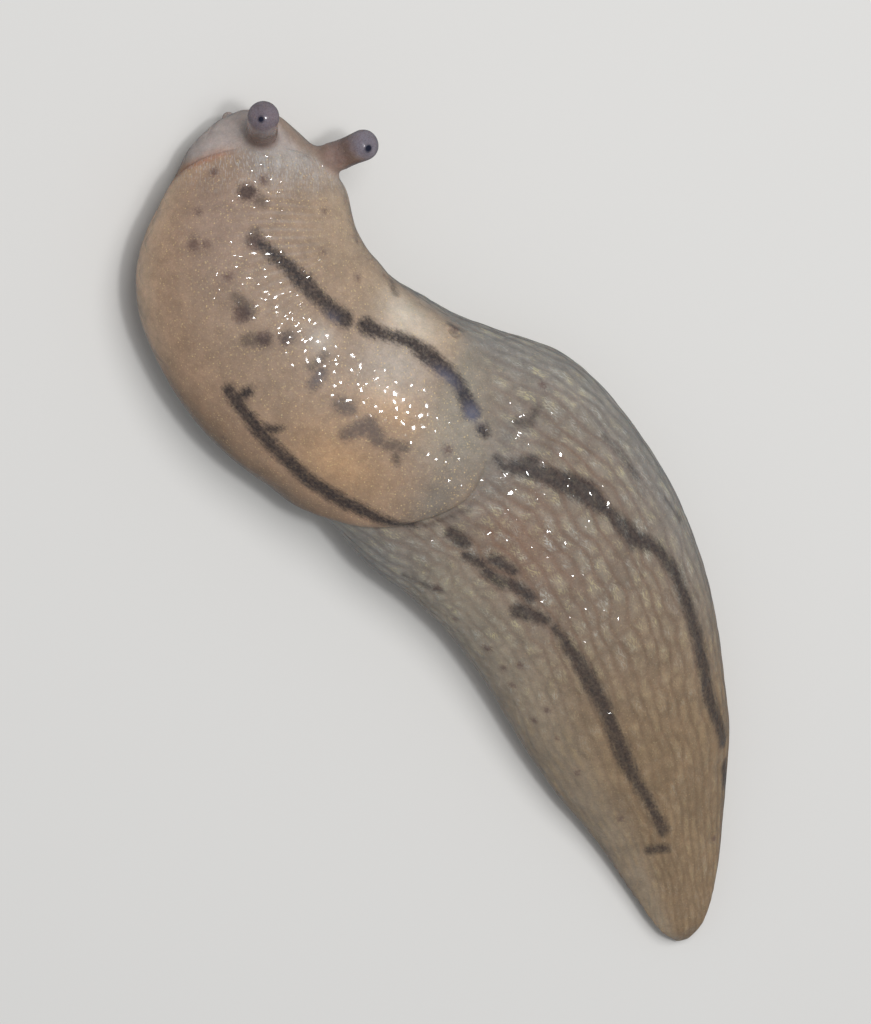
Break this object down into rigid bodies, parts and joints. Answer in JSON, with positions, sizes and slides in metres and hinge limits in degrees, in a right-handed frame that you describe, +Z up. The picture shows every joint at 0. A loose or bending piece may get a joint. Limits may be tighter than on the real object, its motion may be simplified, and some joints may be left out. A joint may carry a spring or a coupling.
{
  "type": "three-band slug",
  "caption": "Life-size still model of a small banded garden slug resting on its sole, body bent in an S, feelers out.",
  "frame": {"origin": "middle of the footprint, on the level of the sole", "axes": "+Z up from the sole through the back, +Y towards the head end of the footprint, +X to the right of that"},
  "size_m": [0.0232, 0.0337, 0.0063],
  "materials": {
    "skin": "wet, soft, slightly see-through skin",
    "eye": "wet gloss"
  },
  "bodies": {
    "root": {"head": "skin", "mantle": "skin", "torso_front": "skin", "torso_middle": "skin", "torso_rear": "skin", "tail": "skin", "foot_front": "skin", "foot_middle": "skin", "foot_rear": "skin", "tentacle_upper_left": "skin", "tentacle_upper_right": "skin", "tentacle_lower_left": "skin", "tentacle_lower_right": "skin", "eye_left": "eye", "eye_right": "eye"}
  },
  "joints": []
}
